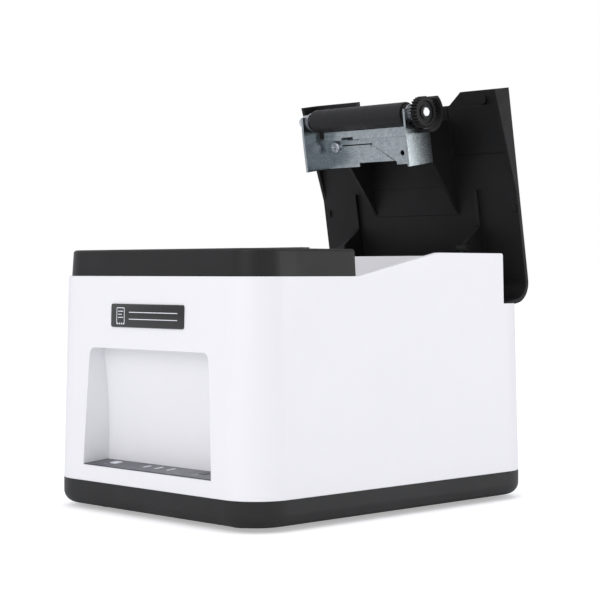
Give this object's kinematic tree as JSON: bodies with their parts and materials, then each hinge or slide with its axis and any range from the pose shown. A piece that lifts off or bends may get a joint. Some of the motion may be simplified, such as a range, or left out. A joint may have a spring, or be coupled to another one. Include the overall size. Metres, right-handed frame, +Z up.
{
  "type": "receipt printer",
  "caption": "Desktop thermal receipt printer for narrow paper, with a front recess for lights and keys and a rear-hinged paper cover that carries the platen roller.",
  "frame": {"origin": "on the table, under the middle of the case", "axes": "+X to the right as the user faces it, +Y to the back, +Z up"},
  "size_m": [0.14, 0.1841, 0.1942],
  "materials": {
    "white_case": "fine moulded satin",
    "black_cap": "fine moulded satin",
    "dark_base": "fine moulded satin",
    "black_cover": "moulded, faint grain",
    "soft_rubber": "matte",
    "platen_rubber": "ground matte",
    "zinc_sheet": "zinc-plated sheet",
    "bright_steel": "turned",
    "bush_steel": "sintered bush, oiled",
    "bronze": "turned",
    "gear_plastic": "moulded",
    "overlay": "satin film",
    "light_white": "clear light pipe",
    "key_white": "satin",
    "key_dark": "satin",
    "badge": "gloss film",
    "aluminium": "extruded",
    "ceramic": "glazed ceramic",
    "board": "solder mask",
    "chip_black": "moulded",
    "socket_black": "moulded",
    "blade": "blackened sheet"
  },
  "bodies": {
    "case": {"case_shell": "white_case", "base_tray": "dark_base", "rubber_feet": "soft_rubber", "base_screws": "bright_steel", "top_cap": "black_cap", "tear_bar": "blade", "front_badge": "badge", "control_overlay": "overlay", "status_lights": "light_white", "key_board": "board", "paper_bucket": "white_case", "print_chassis": "zinc_sheet", "head_pin": "bright_steel", "head_springs": "bright_steel", "stepper_motor": "zinc_sheet", "idler_pin": "bright_steel", "chassis_screws": "bright_steel", "paper_sensor": "chip_black", "main_board": "board", "board_screws": "bright_steel", "board_components": "chip_black", "power_socket": "socket_black", "usb_socket": "zinc_sheet", "drawer_socket": "socket_black", "network_socket": "zinc_sheet", "switch_frame": "socket_black", "hinge_pins": "bright_steel"},
    "cover": {"cover_shell": "black_cover", "platen_bracket": "zinc_sheet", "bracket_screw": "bright_steel", "platen_bushes": "bush_steel", "gear_guard": "gear_plastic", "hinge_spring": "bright_steel"},
    "platen": {"platen_rubber": "platen_rubber", "platen_shaft": "bright_steel", "platen_collar": "gear_plastic", "platen_gear": "gear_plastic"},
    "feed_button": {"feed_key": "key_dark"},
    "power_button": {"power_key": "key_white"},
    "head": {"print_head": "ceramic", "head_heat_sink": "aluminium"},
    "motor_rotor": {"motor_shaft": "bright_steel", "drive_pinion": "bronze"},
    "idler": {"idler_gear": "gear_plastic"},
    "rocker": {"power_rocker": "socket_black"}
  },
  "joints": [
    {"name": "cover_hinge", "type": "hinge", "parent": "case", "child": "cover", "pos_m": [0, 0.0706, 0.0936], "axis": [1, 0, 0], "range_deg": [0, 80.5]},
    {"name": "platen_spin", "type": "hinge", "parent": "cover", "child": "platen", "pos_m": [0, 0.04445, 0.182], "axis": [1, 0, 0], "continuous": true},
    {"name": "feed_press", "type": "slide", "parent": "case", "child": "feed_button", "axis": [0, 0.0785, -0.9969], "range_m": [0, 0.0006], "stiffness_N_per_m": 400, "springref_m": -0.002},
    {"name": "power_press", "type": "slide", "parent": "case", "child": "power_button", "axis": [0, 0.0785, -0.9969], "range_m": [0, 0.0006], "stiffness_N_per_m": 400, "springref_m": -0.002},
    {"name": "head_pivot", "type": "hinge", "parent": "case", "child": "head", "pos_m": [0, -0.02572, 0.06904], "axis": [1, 0, 0], "range_deg": [0, 2], "stiffness_Nm_per_rad": 0.6, "springref_deg": -2.86},
    {"name": "idler_spin", "type": "hinge", "parent": "case", "child": "idler", "pos_m": [0, -0.03699, 0.07379], "axis": [1, 0, 0], "continuous": true},
    {"name": "motor_spin", "type": "hinge", "parent": "case", "child": "motor_rotor", "pos_m": [0, -0.05, 0.07], "axis": [1, 0, 0], "continuous": true},
    {"name": "rocker_tilt", "type": "hinge", "parent": "case", "child": "rocker", "pos_m": [-0.046, 0.0865, 0.036], "axis": [1, 0, 0], "range_deg": [0, 16]}
  ],
  "couplings": [
    {"joint": "motor_spin", "follows": "idler_spin", "ratio": -2.8571}
  ]
}
